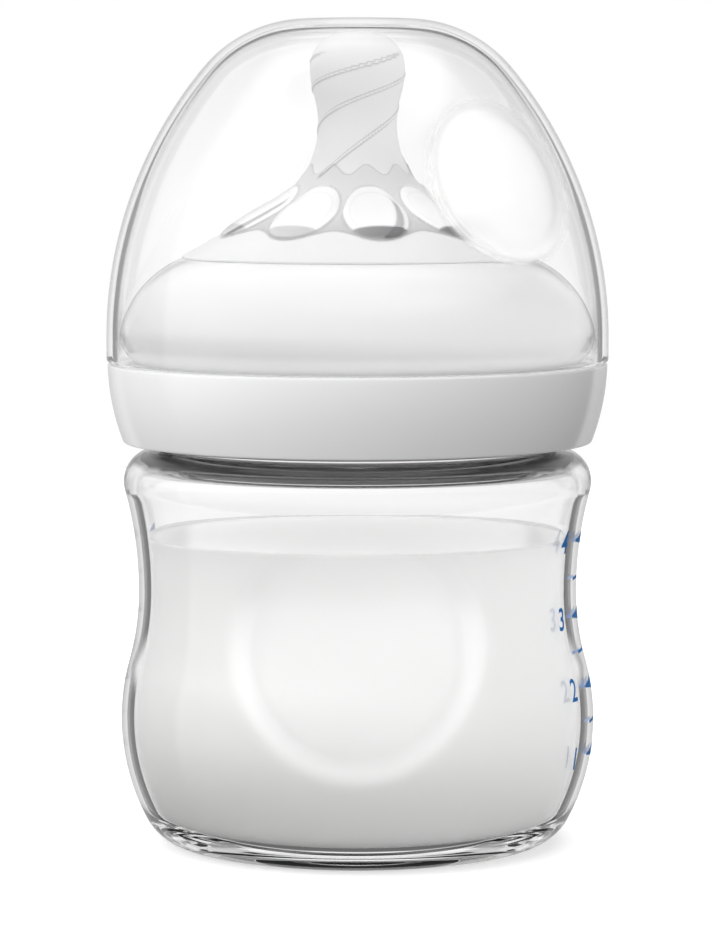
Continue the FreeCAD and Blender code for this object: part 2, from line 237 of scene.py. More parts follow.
def beyond(centre, other, reach, span):
    """Point on the line from centre to other, at this reach out of the whole span."""
    return tuple(a + (b - a) * reach / span for a, b in zip(centre, other))


def at(radius, height, curve=0.0, side=1, blunt=0.0, step=None):
    """Corner of an outline. curve and side give the arc that leaves it: side 1 has its centre on the
    left of the walk and -1 on the right. blunt rounds the corner itself."""
    return {"point": np.array([radius, height], float), "curve": curve, "side": side,
            "blunt": blunt, "step": step or (ARC_STEP if curve else LINE_STEP)}


def arc(start, end, radius, side, step=ARC_STEP, turn=ARC_TURN):
    """Points from start to end on a circle: centre plus radius times (cos a, sin a)."""
    chord = end - start
    length = np.hypot(*chord)
    across = np.array([-chord[1], chord[0]]) / length
    centre = (start + end) / 2 + side * across * leg(radius, length / 2)
    first = math.atan2(*(start - centre)[::-1])
    last = math.atan2(*(end - centre)[::-1])
    sweep = (last - first + math.pi) % (2 * math.pi) - math.pi
    count = max(math.ceil(abs(sweep) * radius / step), math.ceil(abs(sweep) / turn), 2)
    angles = first + sweep * np.linspace(0, 1, count + 1)
    return centre + radius * np.stack([np.cos(angles), np.sin(angles)], axis=1)


def straight(start, end, step):
    """Evenly spaced points: start plus t times the way to end."""
    count = max(1, math.ceil(np.hypot(*(end - start)) / step))
    return start + np.linspace(0, 1, count + 1)[:, None] * (end - start)


def blunted(before, corner, after):
    """Ends and side of the small arc that rounds a corner, cut back by radius times tan of half the turn."""
    come = (corner["point"] - before["point"]) / np.hypot(*(corner["point"] - before["point"]))
    leave = (after["point"] - corner["point"]) / np.hypot(*(after["point"] - corner["point"]))
    cross = come[0] * leave[1] - come[1] * leave[0]
    turn = math.atan2(cross, come @ leave)
    trim = corner["blunt"] * math.tan(abs(turn) / 2)
    return corner["point"] - come * trim, corner["point"] + leave * trim, 1 if turn > 0 else -1


def outline(corners, closed=True):
    """Walk along the corners as one line of (radius, height) points, without repeated points."""
    count = len(corners)
    enter = [c["point"] for c in corners]
    leave = [c["point"] for c in corners]
    line = []
    sides = [0] * count
    for i, corner in enumerate(corners):
        if corner["blunt"]:
            enter[i], leave[i], sides[i] = blunted(corners[i - 1], corner, corners[(i + 1) % count])
    for i, corner in enumerate(corners):
        if corner["blunt"]:
            turn = SMALL_ROUND_TURN if corner["blunt"] < SMALL_ROUND else ARC_TURN
            line.append(arc(enter[i], leave[i], corner["blunt"], sides[i], turn=turn))
        if i + 1 == count and not closed:
            break
        goal = enter[(i + 1) % count]
        if corner["curve"]:
            line.append(arc(leave[i], goal, corner["curve"], corner["side"], corner["step"]))
        else:
            line.append(straight(leave[i], goal, corner["step"]))
    points = np.concatenate(line)
    apart = np.hypot(*(points - np.roll(points, 1, axis=0)).T) > SAME_POINT
    apart[0] = not closed or apart[0]
    return points[apart]


# Meshes

def put_in_scene(name, points, faces, smooth=True):
    """Object at the origin from points in millimetres and faces as rows of indices."""
    mesh = bpy.data.meshes.new(name)
    mesh.from_pydata((points * MM).tolist(), [], faces)
    mesh.polygons.foreach_set("use_smooth", np.full(len(mesh.polygons), smooth))
    mesh.validate()
    mesh.update()
    piece = bpy.data.objects.new(name, mesh)
    bpy.context.scene.collection.objects.link(piece)
    return piece


def add_mask(piece, name, values):
    """Named value for each point of a piece, for its material."""
    layer = piece.data.attributes.new(name, "FLOAT", "POINT")
    layer.data.foreach_set("value", values.astype(np.float32).ravel())


def grid_faces(rows, columns, wrap_rows):
    """Four-cornered faces between neighbouring rows and columns; columns always close."""
    row = np.arange(rows if wrap_rows else rows - 1)[:, None]
    column = np.arange(columns)[None, :]
    above = (row + 1) % rows
    right = (column + 1) % columns
    corners = [row * columns + column, row * columns + right,
               above * columns + right, above * columns + column]
    return np.stack([c + 0 * row + 0 * column for c in corners], axis=-1).reshape(-1, 4)


def lean_of(line, closed):
    """Outward normal (radius, height) at each point of a line that keeps its solid on the left."""
    if closed:
        along = np.roll(line, -1, axis=0) - np.roll(line, 1, axis=0)
    else:
        along = np.gradient(line, axis=0)
    along /= np.hypot(*along.T)[:, None]
    return along[:, 1], -along[:, 0]


def even_angles(count):
    """Angles once round, without the last that would repeat the first."""
    return np.linspace(0, 2 * math.pi, count, endpoint=False)


def closer_angles(middle, half_sector, close_count, rest_count):
    """Angles once round, set closer together in the sector about a middle angle."""
    first, last = middle - half_sector, middle + half_sector
    close = np.linspace(first, last, close_count, endpoint=False)
    rest = np.linspace(last, first + 2 * math.pi, rest_count, endpoint=False)
    return np.concatenate([close, rest])


def turned(name, line, mould=None, masks=None, angles=None, draw=None):
    """Line of (radius, height) turned about Z: x = r cos a, y = r sin a, z = height.

    mould gives how far each point moves along the outward normal, and draw how far it moves away from
    the axis. Ends on the axis become poles.
    """
    poles = line[0, 0] < SAME_POINT and line[-1, 0] < SAME_POINT
    out, up = lean_of(line, not poles)
    rows = line[1:-1] if poles else line
    out, up = (out[1:-1], up[1:-1]) if poles else (out, up)
    angle = even_angles(COLUMNS)[None, :] if angles is None else angles[None, :]
    columns = angle.size
    radius = rows[:, :1] + 0 * angle
    height = rows[:, 1:] + 0 * angle
    if mould:
        lift = mould(radius, height, angle, out[:, None])
        moved_radius, moved_height = radius + lift * out[:, None], height + lift * up[:, None]
    else:
        moved_radius, moved_height = radius, height
    if draw:
        moved_radius = moved_radius + draw(radius, height, angle)
    points = np.stack([moved_radius * np.cos(angle), moved_radius * np.sin(angle), moved_height],
                      axis=-1).reshape(-1, 3)
    faces = grid_faces(len(rows), columns, not poles).tolist()
    if poles:
        ends = np.array([[0, 0, line[0, 1]], [0, 0, line[-1, 1]]])
        first, last = len(points), len(points) + 1
        ring = np.arange(columns)
        turn = np.roll(ring, -1)
        top = (len(rows) - 1) * columns
        faces += np.stack([ring * 0 + first, turn, ring], axis=1).tolist()
        faces += np.stack([ring * 0 + last, top + ring, top + turn], axis=1).tolist()
        points = np.concatenate([points, ends])
    piece = put_in_scene(name, points, faces)
    for label, values in (masks or {}).items():
        field = values(radius, height, angle, out[:, None]).reshape(-1)
        add_mask(piece, label, np.concatenate([field, np.zeros(len(points) - len(field))]))
    return piece


def from_front(angle):
    """Azimuth from the front towards the right, for an angle from +X."""
    return (angle + math.pi / 2 + math.pi) % (2 * math.pi) - math.pi


# Bottle and milk

BELLY_CENTRE = (BELLY_RADIUS - BELLY_CURVE, BELLY_HEIGHT)
LOWER_SPAN = BELLY_CURVE + WAIST_LOWER_CURVE
WAIST_HEIGHT = BELLY_HEIGHT + leg(LOWER_SPAN, LOWER_SPAN - (BELLY_RADIUS - WAIST_RADIUS))
LOWER_CENTRE = (WAIST_RADIUS + WAIST_LOWER_CURVE, WAIST_HEIGHT)
UPPER_SPAN = WAIST_UPPER_CURVE + SHOULDER_CURVE
UPPER_CENTRE = (WAIST_RADIUS + WAIST_UPPER_CURVE, WAIST_HEIGHT)
SHOULDER_CENTRE = (WAIST_RADIUS + SHOULDER_FLARE - SHOULDER_CURVE,
                   WAIST_HEIGHT + leg(UPPER_SPAN, UPPER_SPAN - SHOULDER_FLARE))
SHOULDER_TOP = SHOULDER_CENTRE[1] + SHOULDER_CURVE
HEEL_SPAN = BELLY_CURVE - HEEL_CURVE
FOOT_RADIUS = BELLY_CENTRE[0] + leg(HEEL_SPAN, BELLY_HEIGHT - HEEL_CURVE)
FOOT_INSIDE = FOOT_RADIUS - FOOT_WIDTH
NECK_RADIUS = SHOULDER_CENTRE[0] - NECK_STEP
NECK_INSIDE = NECK_RADIUS - NECK_WALL
MOUTH = SHOULDER_TOP + NECK_HEIGHT
THREAD_MIDDLE = SHOULDER_TOP + THREAD_START
MILK_LEVEL = WAIST_HEIGHT + MILK_OVER_WAIST
BOTTLE_ANGLES = closer_angles(-math.pi / 2, RECESS_SECTOR, RECESS_COLUMNS, BOTTLE_COLUMNS)


def side_points(inset):
    """Where the side's arcs meet, moved this far into the wall: heel, belly, waist and shoulder."""
    return (
        beyond(BELLY_CENTRE, (FOOT_RADIUS, HEEL_CURVE), BELLY_CURVE - inset, HEEL_SPAN),
        beyond(BELLY_CENTRE, LOWER_CENTRE, BELLY_CURVE - inset, LOWER_SPAN),
        (WAIST_RADIUS - inset, WAIST_HEIGHT),
        beyond(SHOULDER_CENTRE, UPPER_CENTRE, SHOULDER_CURVE - inset, UPPER_SPAN),
    )


def inner_floor(inset):
    """Floor inside the wall: its height, its edge, its round and where that round meets the belly."""
    height = BASE_RISE + BASE_THICKNESS + inset - BOTTLE_WALL
    curve = INNER_HEEL_CURVE + BOTTLE_WALL - inset
    span = BELLY_CURVE - inset - curve
    edge = BELLY_CENTRE[0] + leg(span, BELLY_HEIGHT - height - curve)
    meeting = beyond(BELLY_CENTRE, (edge, height + curve), BELLY_CURVE - inset, span)
    return height, edge, curve, meeting


def in_recess(radius, height, angle):
    """Share of the front recess's depth: a straight chamfer between two circles, its edges softened."""
    from_middle = np.hypot(radius * np.cos(angle), height - RECESS_HEIGHT)
    into = RECESS_RIM - from_middle
    rise_from_rim = np.sqrt(into * into + RECESS_SOFT ** 2) + into
    past_flat = into - (RECESS_RIM - RECESS_FLAT)
    rise_from_flat = np.sqrt(past_flat * past_flat + RECESS_SOFT ** 2) + past_flat
    return (rise_from_rim - rise_from_flat) / (2 * (RECESS_RIM - RECESS_FLAT)) * (np.sin(angle) < 0)


def glass_recess(radius, height, angle):
    """Depth of the recess in the glass, which fades towards its top."""
    fade = ease((height - RECESS_FADE_FOOT) / (RECESS_FADE_TOP - RECESS_FADE_FOOT))
    return RECESS_DEPTH * in_recess(radius, height, angle) * (1 - RECESS_FADE_SHARE * fade)


def thread_ridge(height, angle, middle):
    """Thread above its wall: a trapezoid across, carried up one pitch in each turn."""
    turn = (angle / (2 * math.pi)) % 1.0
    ridge = 0 * height
    for lap in (0, 1):
        way = turn + lap
        across = np.abs(height - middle - THREAD_PITCH * way)
        slope = (THREAD_ROOT_WIDTH - THREAD_CREST_WIDTH) / 2
        flank = np.clip((THREAD_ROOT_WIDTH / 2 - across) / slope, 0, 1)
        ends = ease(way / THREAD_RUN_OUT) * ease((THREAD_TURNS - way) / THREAD_RUN_OUT)
        ridge = np.maximum(ridge, flank * ends)
    return THREAD_DEPTH * ridge


def make_bottle():
    """Bottle turned from base to rim and back down inside, with its recess and neck thread."""
    heel, belly, waist, shoulder = side_points(0)
    _, belly_in, waist_in, _ = side_points(BOTTLE_WALL)
    floor, floor_edge, floor_curve, meeting = inner_floor(BOTTLE_WALL)
    ceiling = SHOULDER_TOP - BOTTLE_WALL
    inner_span = WAIST_UPPER_CURVE + BOTTLE_WALL + INNER_SHOULDER_CURVE
    inner_drop = ceiling - INNER_SHOULDER_CURVE - WAIST_HEIGHT
    inner_centre = (UPPER_CENTRE[0] - leg(inner_span, inner_drop), ceiling - INNER_SHOULDER_CURVE)
    shoulder_in = beyond(UPPER_CENTRE, inner_centre, WAIST_UPPER_CURVE + BOTTLE_WALL, inner_span)
    line = outline([
        at(0, BASE_RISE),
        at(FOOT_INSIDE - BASE_SLOPE, BASE_RISE, blunt=BASE_ROUND),
        at(FOOT_INSIDE, 0, blunt=FOOT_ROUND),
        at(FOOT_RADIUS, 0, HEEL_CURVE),
        at(*heel, BELLY_CURVE),
        at(*belly, WAIST_LOWER_CURVE, -1),
        at(*waist, WAIST_UPPER_CURVE, -1),
        at(*shoulder, SHOULDER_CURVE),
        at(SHOULDER_CENTRE[0], SHOULDER_TOP),
        at(NECK_RADIUS, SHOULDER_TOP, blunt=NECK_FOOT_ROUND, step=THREAD_STEP),
        at(NECK_RADIUS, MOUTH - RIM_ROUND, RIM_ROUND),
        at(NECK_RADIUS - RIM_ROUND, MOUTH),
        at(NECK_INSIDE + RIM_ROUND, MOUTH, RIM_ROUND),
        at(NECK_INSIDE, MOUTH - RIM_ROUND),
        at(NECK_INSIDE, ceiling, blunt=THROAT_ROUND),
        at(inner_centre[0], ceiling, INNER_SHOULDER_CURVE, -1),
        at(*shoulder_in, WAIST_UPPER_CURVE + BOTTLE_WALL),
        at(*waist_in, WAIST_LOWER_CURVE + BOTTLE_WALL),
        at(*belly_in, BELLY_CURVE - BOTTLE_WALL, -1),
        at(*meeting, floor_curve, -1),
        at(floor_edge, floor),
        at(0, floor),
    ], closed=False)

    def mould(radius, height, angle, out):
        on_neck = (height > SHOULDER_TOP + NECK_MARGIN) & (height < MOUTH - NECK_MARGIN)
        return (on_neck * (out > WALL_LEAN) * thread_ridge(height, angle, THREAD_MIDDLE)
                - np.sign(out) * glass_recess(radius, height, angle))

    # Painted shade: 1 on the glass's level face under the ring, which its colour paints dark.
    def ledge(radius, height, angle, out):
        level = (np.abs(out) < LEVEL_LEAN) & (height < SHOULDER_TOP + NECK_MARGIN)
        return level * ease((height - ceiling + LEDGE_SHADE) / LEDGE_SHADE) + 0 * angle

    return turned("bottle_shell", line, mould, {"ledge": ledge}, BOTTLE_ANGLES)


def make_milk():
    """Filling turned inside the wall up to its level, which curls up a little at the wall."""
    inset = BOTTLE_WALL + MILK_FILM
    floor, edge, curve, meeting = inner_floor(inset)
    _, belly, waist, _ = side_points(inset)
    upper = WAIST_UPPER_CURVE + inset
    top = MILK_LEVEL + MENISCUS_RISE
    rim = UPPER_CENTRE[0] - leg(upper, top - WAIST_HEIGHT)
    line = outline([
        at(0, floor),
        at(edge, floor, curve),
        at(*meeting, BELLY_CURVE - inset),
        at(*belly, WAIST_LOWER_CURVE + inset, -1),
        at(*waist, upper, -1),
        at(rim, top, MENISCUS_CURVE, -1),
        at(rim - MENISCUS_WIDTH, MILK_LEVEL),
        at(0, MILK_LEVEL),
    ], closed=False)

    def drawn_in(radius, height, angle):
        near_wall = ease((radius - MILK_DRAWN_FROM) / (MILK_DRAWN_TO - MILK_DRAWN_FROM))
        return -RECESS_DEPTH * near_wall * in_recess(radius, height, angle)

    # Painted light: share of the recess that the milk's colour paints paler.
    masks = {"recess": lambda r, z, a, out: in_recess(r, z, a) * (r > MILK_DRAWN_TO)}
    return turned("milk_fill", line, None, masks, BOTTLE_ANGLES, drawn_in)


# Printed scale

INK_LIFT = 0.04
WEDGE_HEIGHTS = (13.4, 22.9, 32.6, 43.2)
TICK_HEIGHTS = (17.9, 27.6, 37.8)
WEDGE_SPAN = (math.radians(75), math.radians(85.5))
WEDGE_HALF = (0.12, 0.95)
TICK_SPAN = (math.radians(76), math.radians(83.5))
TICK_HALF = (0.22, 0.22)
NUMERAL_AZIMUTH = math.radians(65.5)
NUMERAL_SIZE = 4.4
NUMERAL_BOLD = 0.06
SECOND_SCALE_TURN = math.radians(15)


def wall_radius(height):
    """Radius of the bottle's outside at a height, read along its side's arcs."""
    heel, belly, waist, shoulder = side_points(0)
    side = outline([
        at(*heel, BELLY_CURVE),
        at(*belly, WAIST_LOWER_CURVE, -1),
        at(*waist, WAIST_UPPER_CURVE, -1),
        at(*shoulder),
    ], closed=False)
    return np.interp(height, side[:, 1], side[:, 0])


def on_wall(azimuth, height):
    """Points on the bottle's outside at azimuths from the front, a little proud of it."""
    radius = wall_radius(height) + INK_LIFT
    return np.stack([radius * np.sin(azimuth), -radius * np.cos(azimuth), height + 0 * azimuth], axis=-1)


def ink_strips():
    """Wedges and ticks: each runs along an azimuth span, with a half height that grows from end to end."""
    along = np.linspace(0, 1, INK_ALONG + 1)[:, None]
    across = np.linspace(-1, 1, INK_ACROSS + 1)[None, :]
    row = across.size
    first_corner = np.arange(INK_ALONG)[:, None] * row + np.arange(INK_ACROSS)[None, :]
    quads = first_corner.reshape(-1, 1) + np.array([[0, row, row + 1, 1]])
    marks = [(z, WEDGE_SPAN, WEDGE_HALF) for z in WEDGE_HEIGHTS]
    marks += [(z, TICK_SPAN, TICK_HALF) for z in TICK_HEIGHTS]
    points, faces = [], []
    for side in (1, -1):
        for height, span, half in marks:
            first = span[0] if side > 0 else span[0] + SECOND_SCALE_TURN
            azimuth = side * (first + along * (span[1] - span[0])) + 0 * across
            half_here = half[0] + along * (half[1] - half[0])
            quad = quads + along.size * row * len(points)
            points.append(on_wall(azimuth, height + across * half_here).reshape(-1, 3))
            faces += (quad if side > 0 else quad[:, ::-1]).tolist()
    return put_in_scene("scale_marks", np.concatenate(points), faces)


def numeral(text, height):
    """Flat numeral wrapped on the wall: its width becomes azimuth over the wall's radius."""
    letters = bpy.data.curves.new("numeral_" + text, "FONT")
    letters.body = text
    letters.size = NUMERAL_SIZE
    letters.offset = NUMERAL_BOLD
    letters.align_x = "CENTER"
    letters.align_y = "CENTER"
    holder = bpy.data.objects.new("numeral_" + text, letters)
    bpy.context.scene.collection.objects.link(holder)
    bpy.context.view_layer.update()
    flat = bpy.data.meshes.new_from_object(holder.evaluated_get(bpy.context.evaluated_depsgraph_get()))
    flat_points = np.zeros(len(flat.vertices) * 3)
    flat.vertices.foreach_get("co", flat_points)
    flat_points = flat_points.reshape(-1, 3)
    faces = [list(face.vertices) for face in flat.polygons]
    bpy.data.objects.remove(holder)
    bpy.data.meshes.remove(flat)
    bpy.data.curves.remove(letters)
    up = height + flat_points[:, 1]
    azimuth = NUMERAL_AZIMUTH + flat_points[:, 0] / wall_radius(height)
    return put_in_scene("scale_numeral_" + text, on_wall(azimuth, up), faces, smooth=False)


# Screw ring

RING_BOTTOM = SHOULDER_TOP + RING_GAP
BORE = NECK_RADIUS + THREAD_DEPTH + THREAD_GAP
UNDERCUT = BORE + RING_WALL
BULGE = UNDERCUT + BULGE_DEPTH
BAND_RADIUS = BULGE + LEDGE_WIDTH
LEDGE = RING_BOTTOM + BAND_HEIGHT
FLANGE_BOTTOM = MOUTH + SEAT_GAP
FLANGE_TOP = FLANGE_BOTTOM + FLANGE_THICKNESS
CLAMP = FLANGE_TOP + LIP_GAP
LIP_TOP = CLAMP + LIP_THICKNESS
FLANGE_RADIUS = NECK_RADIUS - FLANGE_INSET
OPENING = FLANGE_RADIUS - LIP_GRIP


def make_ring():
    """Ring turned from its outline, with the thread raised on its bore."""
    line = outline([
        at(BORE, RING_BOTTOM, blunt=BORE_ROUND),
        at(BAND_RADIUS - BAND_TAPER, RING_BOTTOM, BAND_CURVE, blunt=BAND_FOOT_ROUND),
        at(BAND_RADIUS, LEDGE - BAND_EDGE, BAND_EDGE),
        at(BAND_RADIUS - BAND_EDGE, LEDGE),
        at(UNDERCUT, LEDGE, BULGE_CURVE),
        at(BULGE, LEDGE + BULGE_HEIGHT, DOME_CURVE),
        at(OPENING + LIP_LAND, LIP_TOP),
        at(OPENING, LIP_TOP, blunt=LIP_TOP_ROUND),
        at(OPENING, CLAMP, blunt=LIP_FOOT_ROUND),
        at(BORE - BORE_CHAMFER, CLAMP),
        at(BORE, CLAMP - BORE_CHAMFER, step=THREAD_STEP),
    ])
    middle = THREAD_MIDDLE - THREAD_PITCH / 2

    def mould(radius, height, angle, out):
        in_bore = (radius < BORE + CLOSE) & (out < -WALL_LEAN) & (height < CLAMP - BORE_CHAMFER)
        return in_bore * thread_ridge(height, angle, middle)

    # Painted shade: 1 in the bore and thread, which the plastic's colour paints dark.
    def bore(radius, height, angle, out):
        return 1.0 * (radius < BORE + BORE_SHADE) * (height < CLAMP + CLOSE) + 0 * angle

    return turned("ring_shell", line, mould, {"bore": bore})


# Nipple

GROOVE = OPENING - GROOVE_GAP
BEAD_RADIUS = OPENING + BEAD_OVERLAP
BEAD_BOTTOM = LIP_TOP + BEAD_REST
CONE_BOTTOM = BEAD_BOTTOM + BEAD_EDGE
CONE_TOP_RADIUS = NIPPLE_NECK_RADIUS + FLARE_CURVE * (1 - math.sin(CONE_ANGLE))
CONE_TOP = CONE_BOTTOM + (BEAD_RADIUS - CONE_TOP_RADIUS) * math.tan(CONE_ANGLE)
NIPPLE_NECK = CONE_TOP + FLARE_CURVE * math.cos(CONE_ANGLE)
NECK_CENTRE = (NIPPLE_NECK_RADIUS + NECK_CURVE, NIPPLE_NECK)
BULB_RADIUS = NIPPLE_NECK_RADIUS + BULB_SWELL
BULB_SPAN = NECK_CURVE + BULB_CURVE
BULB_HEIGHT = NIPPLE_NECK + leg(BULB_SPAN, BULB_SPAN - BULB_SWELL)
BULB_CENTRE = (BULB_RADIUS - BULB_CURVE, BULB_HEIGHT)
TIP = BULB_HEIGHT + TIP_CURVE
TIP_FLAT = BULB_RADIUS - TIP_CURVE
SPIRAL_STARTS = 3
SPIRAL_FOOT = 97.8
SPIRAL_TURN = 0.0369
SPIRAL_QUICKEN = 0.00238
SPIRAL_HALF_WIDTH = 0.22
SPIRAL_SOFT = 0.12
SPIRAL_LIFT = 0.13
SPIRAL_LOW = 92.9
SPIRAL_HIGH = 110.8
SPIRAL_ENDS = 1.2
ARCH_LOW = 93.7
ARCH_LIFT = 1.4
ARCH_SOFT = 0.25
SCALLOP_RADIUS = 18.7
SCALLOP_SWING = 1.1
SCALLOP_SOFT = 0.3
COLLAR_LIFT = 0.12


def petal_turn(angle):
    """Angle from the nearest petal's middle line."""
    pitch = 2 * math.pi / PETAL_COUNT
    return (from_front(angle) - PETAL_TURN + pitch / 2) % pitch - pitch / 2


def on_rib(radius, height, angle):
    """1 on three ribs that turn faster towards the tip: each is where the turn equals the climb's share."""
    climb = height - SPIRAL_FOOT
    turns = SPIRAL_TURN * climb + SPIRAL_QUICKEN * climb * climb
    part = 1 / SPIRAL_STARTS
    apart = (from_front(angle) / (2 * math.pi) - turns + part / 2) % part - part / 2
    slope = (SPIRAL_TURN + 2 * SPIRAL_QUICKEN * climb) * 2 * math.pi * radius
    across = np.abs(apart) * 2 * math.pi * radius / np.sqrt(1 + slope * slope)
    ends = ease((height - SPIRAL_LOW) / SPIRAL_ENDS) * ease((SPIRAL_HIGH - height) / SPIRAL_ENDS)
    return ease((SPIRAL_HALF_WIDTH + SPIRAL_SOFT / 2 - across) / SPIRAL_SOFT) * ends


def in_collar(radius, height, angle):
    """1 between the arches over the petals and the scallops under them, eased at both edges."""
    turn = petal_turn(angle) * PETAL_COUNT / 2
    arch = ARCH_LOW + ARCH_LIFT * np.cos(turn) ** 2
    scallop = SCALLOP_RADIUS + SCALLOP_SWING * np.cos(2 * turn)
    return ease((arch - height) / ARCH_SOFT + 0.5) * ease((scallop - radius) / SCALLOP_SOFT + 0.5)


def in_petal(radius, height, angle):
    """Egg-shaped petal: 1 less its length and width shares, each to the same power, and 0 outside it."""
    along = np.abs(radius - PETAL_MIDDLE) / PETAL_HALF_LENGTH
    share = PETAL_TOP_SHARE + PETAL_WIDENS * (radius - PETAL_TOP_RADIUS) / PETAL_HALF_LENGTH
    width = PETAL_HALF_WIDTH * np.clip(share, PETAL_LEAST_SHARE, 1)
    across = np.abs(petal_turn(angle)) * radius / width
    inside = 1 - along ** PETAL_POWER - across ** PETAL_POWER
    return np.clip(inside, 0, 1) * (height < ARCH_LOW) * (height > BEAD_BOTTOM)


def on_petal(radius, height, angle):
    """1 on a petal, eased at its outline."""
    return ease(in_petal(radius, height, angle) / PETAL_SOFT)


def in_pocket(radius, height, angle):
    """1 in the middle of a petal, eased well inside its outline; painted shade falls where it is half."""
    return ease(in_petal(radius, height, angle) / POCKET_SOFT - POCKET_INSET)


def in_lens(radius, height, angle):
    """Painted shade: 1 in the foot of a petal, below a line that bows up at the petal's middle, and fainter
    at the left, towards the light.
    """
    bow = LENS_RADIUS + LENS_BOW * np.abs(petal_turn(angle) * PETAL_COUNT / math.pi) ** 2
    grown = ease((from_front(angle) - LENS_GROWS_FROM) / LENS_GROWS_OVER)
    strength = LENS_FAINT + (1 - LENS_FAINT) * grown
    return strength * on_petal(radius, height, angle) * ease((radius - bow) / LENS_SOFT + 0.5)


def on_streak(radius, height, angle):
    """Painted shade: 1 along a bowed dark line inside each petal's right edge, but for the one petal that is
    bare.
    """
    along = (radius - PETAL_MIDDLE) / PETAL_HALF_LENGTH
    turn = petal_turn(angle)
    own_azimuth = from_front(angle) - turn
    across = turn * radius / PETAL_HALF_WIDTH
    shown = np.abs(own_azimuth + STREAK_BARE) > math.pi / PETAL_COUNT
    line = STREAK_OUT * np.sqrt(np.clip(1 - along * along, 0, 1))
    width = STREAK_HALF_WIDTH * np.clip(1 + along, 0.2, 1.6)
    near = ease((width - np.abs(across - line)) / (STREAK_SOFT * width) + 0.5)
    started = ease((along - STREAK_START) / STREAK_START_SOFT)
    return shown * near * started * on_petal(radius, height, angle)


def in_web(radius, height, angle):
    """Painted shade: 1 low down on the collar between the petals, fading upwards."""
    low = ease((radius - WEB_TOP_RADIUS) / (SCALLOP_RADIUS - WEB_TOP_RADIUS))
    return low * in_collar(radius, height, angle) * (1 - on_petal(radius, height, angle))


def make_nipple():
    """Nipple turned from its outline, with its ribs, collar and petals raised outside."""
    top_in = (CONE_TOP_RADIUS - NIPPLE_WALL * math.sin(CONE_ANGLE),
              CONE_TOP - NIPPLE_WALL * math.cos(CONE_ANGLE))
    skirt = GROOVE - NIPPLE_WALL
    skirt_top = top_in[1] - (skirt - top_in[0]) * math.tan(CONE_ANGLE)
    meeting = beyond(BULB_CENTRE, NECK_CENTRE, BULB_CURVE, BULB_SPAN)
    meeting_in = beyond(BULB_CENTRE, NECK_CENTRE, BULB_CURVE - NIPPLE_WALL, BULB_SPAN)
    line = outline([
        at(skirt, FLANGE_BOTTOM, blunt=SKIRT_FOOT_ROUND),
        at(FLANGE_RADIUS, FLANGE_BOTTOM, blunt=FLANGE_ROUND),
        at(FLANGE_RADIUS, FLANGE_TOP, blunt=FLANGE_ROUND),
        at(GROOVE, FLANGE_TOP, blunt=GROOVE_ROUND),
        at(GROOVE, BEAD_BOTTOM),
        at(BEAD_RADIUS, BEAD_BOTTOM, blunt=BEAD_FOOT_ROUND),
        at(BEAD_RADIUS, CONE_BOTTOM, blunt=BEAD_TOP_ROUND, step=NIPPLE_STEP),
        at(CONE_TOP_RADIUS, CONE_TOP, FLARE_CURVE, -1, step=NIPPLE_STEP),
        at(NIPPLE_NECK_RADIUS, NIPPLE_NECK, NECK_CURVE, -1, step=RIB_STEP),
        at(*meeting, BULB_CURVE, step=RIB_STEP),
        at(BULB_RADIUS, BULB_HEIGHT, TIP_CURVE, step=NIPPLE_STEP),
        at(TIP_FLAT, TIP, step=NIPPLE_STEP),
        at(FLOW_HOLE_RADIUS, TIP, blunt=HOLE_ROUND),
        at(FLOW_HOLE_RADIUS, TIP - NIPPLE_WALL, blunt=HOLE_ROUND),
        at(TIP_FLAT, TIP - NIPPLE_WALL, TIP_CURVE - NIPPLE_WALL, -1),
        at(BULB_RADIUS - NIPPLE_WALL, BULB_HEIGHT, BULB_CURVE - NIPPLE_WALL, -1),
        at(*meeting_in, NECK_CURVE + NIPPLE_WALL),
        at(NIPPLE_NECK_RADIUS - NIPPLE_WALL, NIPPLE_NECK, FLARE_CURVE + NIPPLE_WALL),
        at(*top_in),
        at(skirt, skirt_top, blunt=SKIRT_TOP_ROUND),
    ])

    def mould(radius, height, angle, out):
        outside = (out > OUTER_LEAN) & (height > BEAD_BOTTOM + BEAD_MARGIN)
        bulge = PETAL_BULGE * np.sqrt(in_petal(radius, height, angle))
        collar = COLLAR_LIFT * in_collar(radius, height, angle)
        rib = SPIRAL_LIFT * on_rib(radius, height, angle)
        return outside * (rib + collar + bulge)

    def outer(share):
        return lambda r, z, a, out: share(r, z, a) * (out > OUTER_LEAN)

    # Masks for the colour: lens, the dark line, the low collar grey and the inner petal ring carry only
    # painted shade; rib, petal and collar also carry it along their outlines.
    shares = {"petal": on_petal, "collar": in_collar, "lens": in_lens, "pocket_outline_shade": in_pocket,
              "painted_web_shade": in_web, "painted_streak": on_streak, "rib": on_rib}
    return turned("nipple_shell", line, mould, {name: outer(share) for name, share in shares.items()})


# Domed cap

CAP_RADIUS = BAND_RADIUS + CAP_PROUD
CAP_BOTTOM = LEDGE + CAP_GAP
CAP_SPRING = CAP_BOTTOM + CAP_RIM_HEIGHT
CAP_TOP = TIP + TIP_GAP + CAP_WALL
CORNER_CENTRE = (CAP_FLAT_RADIUS, CAP_TOP - CAP_CORNER)
CORNER_RUN = CAP_RADIUS - CAP_FLAT_RADIUS
CORNER_LIFT = CORNER_CENTRE[1] - CAP_SPRING
SIDE_CURVE = ((CORNER_RUN ** 2 + CORNER_LIFT ** 2 - CAP_CORNER ** 2)
              / (2 * (CORNER_RUN - CAP_CORNER)))
SIDE_CENTRE = (CAP_RADIUS - SIDE_CURVE, CAP_SPRING)
DIMPLE_LIFT = DIMPLE_RISE - CAP_RIM_HEIGHT
DIMPLE_LEAN = math.asin(DIMPLE_LIFT / SIDE_CURVE)


